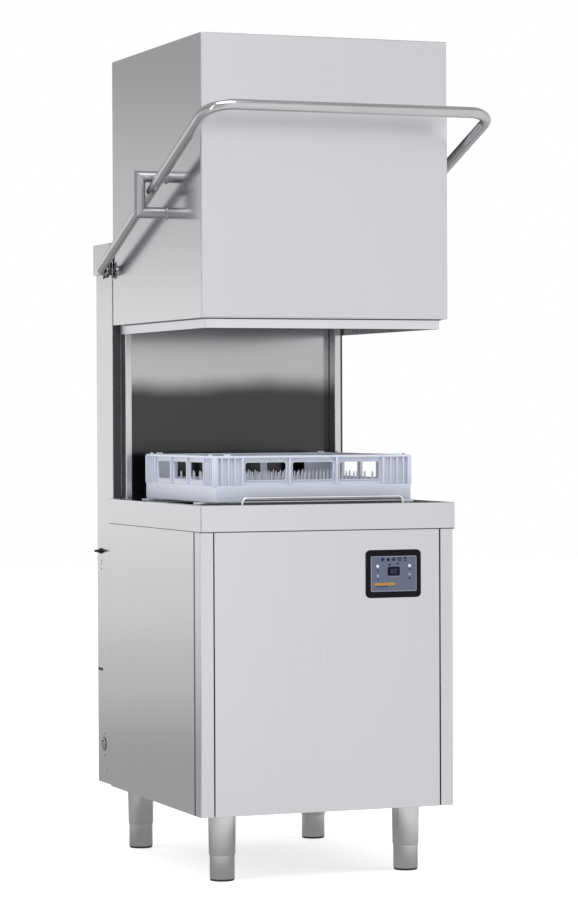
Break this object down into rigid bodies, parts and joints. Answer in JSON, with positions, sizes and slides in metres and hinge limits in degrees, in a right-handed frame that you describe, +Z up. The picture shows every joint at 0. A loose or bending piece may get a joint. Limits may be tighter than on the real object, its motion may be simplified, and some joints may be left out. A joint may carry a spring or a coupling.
{
  "type": "commercial dishwasher",
  "caption": "Hood-type commercial dishwasher in stainless steel, hood raised on its lift handle, dish rack on wire guides, control panel on the front.",
  "frame": {"origin": "on the floor, under the middle of the machine's overall box with the hood raised", "axes": "+X to the right as the user faces the machine, +Y to the back, +Z up"},
  "size_m": [0.766, 0.981, 1.951],
  "materials": {
    "steel_panel": "fine brushed, upright grain",
    "steel_tube": "satin tube, grain along the tube",
    "steel_inner": "plain mill finish",
    "chrome_wire": "bright wire",
    "black_plastic": "semi-gloss moulding",
    "grey_plastic": "matt moulding",
    "fascia_plastic": "printed overlay",
    "button_plastic": "translucent cap",
    "white_nylon": "self-lubricating nylon",
    "rack_plastic": "light grey-blue moulding",
    "motor_aluminium": "cast",
    "spring_steel": "oiled spring steel",
    "black_metal": "blackened",
    "hose_rubber": "reinforced hose"
  },
  "bodies": {
    "cabinet": {"base_frame": "steel_inner", "corner_post_left": "steel_panel", "corner_post_right": "steel_panel", "side_panel_left": "steel_panel", "side_panel_right": "steel_panel", "front_panel": "steel_panel", "rear_column_left": "steel_panel", "rear_column_right": "steel_panel", "column_cap": "steel_panel", "back_wall": "steel_panel", "rear_cover": "steel_panel", "worktop": "steel_panel", "wash_tank": "steel_inner", "tank_filters": "steel_inner", "leg_sleeves": "steel_tube", "guide_posts": "steel_tube", "rack_guides": "chrome_wire", "lower_feed": "steel_inner", "upper_feed": "steel_inner", "pump_casing": "black_plastic", "pump_motor": "motor_aluminium", "booster_boiler": "steel_inner", "heating_elements": "steel_inner", "inlet_valve": "grey_plastic", "dosing_pumps": "grey_plastic", "electrical_box": "grey_plastic", "drain_pipe": "grey_plastic", "control_bezel": "black_plastic", "control_fascia": "fascia_plastic", "handle_bushes": "black_plastic", "counter_springs": "spring_steel", "spring_anchors": "spring_steel", "cable_gland": "black_plastic", "bonding_stud": "black_metal", "panel_screws": "steel_tube", "wash_hoses": "hose_rubber"},
    "hood": {"hood_shell": "steel_panel", "hood_front_panel": "steel_panel", "hood_liner": "steel_panel", "hood_brackets": "steel_tube", "hood_carriages": "steel_inner", "slide_blocks": "white_nylon"},
    "handle": {"handle_tube": "steel_tube", "handle_levers": "spring_steel", "retaining_clips": "black_metal"},
    "rack": {"dish_rack": "rack_plastic"},
    "standpipe": {"overflow_standpipe": "grey_plastic"},
    "lower_wash_arm": {"lower_wash_arm": "steel_inner"},
    "lower_rinse_arm": {"lower_rinse_arm": "steel_inner"},
    "upper_wash_arm": {"upper_wash_arm": "steel_inner"},
    "upper_rinse_arm": {"upper_rinse_arm": "steel_inner"},
    "pump_rotor": {"pump_rotor": "steel_inner"},
    "button_power": {"button_power": "button_plastic"},
    "button_start": {"button_start": "button_plastic"},
    "button_cycle": {"button_cycle": "button_plastic"},
    "button_drain": {"button_drain": "button_plastic"},
    "foot_front_left": {"foot_front_left": "steel_tube"},
    "foot_front_right": {"foot_front_right": "steel_tube"},
    "foot_rear_left": {"foot_rear_left": "steel_tube"},
    "foot_rear_right": {"foot_rear_right": "steel_tube"}
  },
  "joints": [
    {"name": "hood_slide", "type": "slide", "parent": "cabinet", "child": "hood", "axis": [0, 0, 1], "range_m": [-0.424, 0]},
    {"name": "handle_pivot", "type": "hinge", "parent": "cabinet", "child": "handle", "pos_m": [0, 0.368, 1.436], "axis": [1, 0, 0], "range_deg": [0, 54.3], "deforming": ["counter_springs"]},
    {"name": "rack_slide", "type": "slide", "parent": "cabinet", "child": "rack", "axis": [1, 0, 0], "range_m": [0, 0.25]},
    {"name": "standpipe_lift", "type": "slide", "parent": "cabinet", "child": "standpipe", "axis": [0, 0, 1], "range_m": [0, 0.025]},
    {"name": "pump_spin", "type": "hinge", "parent": "cabinet", "child": "pump_rotor", "pos_m": [0, 0.0255, 0.38], "axis": [1, 0, 0], "continuous": true},
    {"name": "lower_wash_spin", "type": "hinge", "parent": "cabinet", "child": "lower_wash_arm", "pos_m": [0, 0.0255, 0.844], "axis": [0, 0, 1], "continuous": true},
    {"name": "lower_rinse_spin", "type": "hinge", "parent": "cabinet", "child": "lower_rinse_arm", "pos_m": [0, 0.0255, 0.858], "axis": [0, 0, 1], "continuous": true},
    {"name": "upper_wash_spin", "type": "hinge", "parent": "cabinet", "child": "upper_wash_arm", "pos_m": [0, 0.0255, 1.339], "axis": [0, 0, 1], "continuous": true},
    {"name": "upper_rinse_spin", "type": "hinge", "parent": "cabinet", "child": "upper_rinse_arm", "pos_m": [0, 0.0255, 1.323], "axis": [0, 0, 1], "continuous": true},
    {"name": "power_press", "type": "slide", "parent": "cabinet", "child": "button_power", "axis": [0, 1, 0], "range_m": [0, 0.001], "stiffness_N_per_m": 600},
    {"name": "start_press", "type": "slide", "parent": "cabinet", "child": "button_start", "axis": [0, 1, 0], "range_m": [0, 0.001], "stiffness_N_per_m": 600},
    {"name": "cycle_press", "type": "slide", "parent": "cabinet", "child": "button_cycle", "axis": [0, 1, 0], "range_m": [0, 0.001], "stiffness_N_per_m": 600},
    {"name": "drain_press", "type": "slide", "parent": "cabinet", "child": "button_drain", "axis": [0, 1, 0], "range_m": [0, 0.001], "stiffness_N_per_m": 600},
    {"name": "foot_front_left_level", "type": "slide", "parent": "cabinet", "child": "foot_front_left", "axis": [0, 0, 1], "range_m": [-0.03, 0]},
    {"name": "foot_front_right_level", "type": "slide", "parent": "cabinet", "child": "foot_front_right", "axis": [0, 0, 1], "range_m": [-0.03, 0]},
    {"name": "foot_rear_left_level", "type": "slide", "parent": "cabinet", "child": "foot_rear_left", "axis": [0, 0, 1], "range_m": [-0.03, 0]},
    {"name": "foot_rear_right_level", "type": "slide", "parent": "cabinet", "child": "foot_rear_right", "axis": [0, 0, 1], "range_m": [-0.03, 0]}
  ],
  "couplings": [
    {"joint": "handle_pivot", "follows": "hood_slide", "rad_per_m": -2.2344}
  ]
}
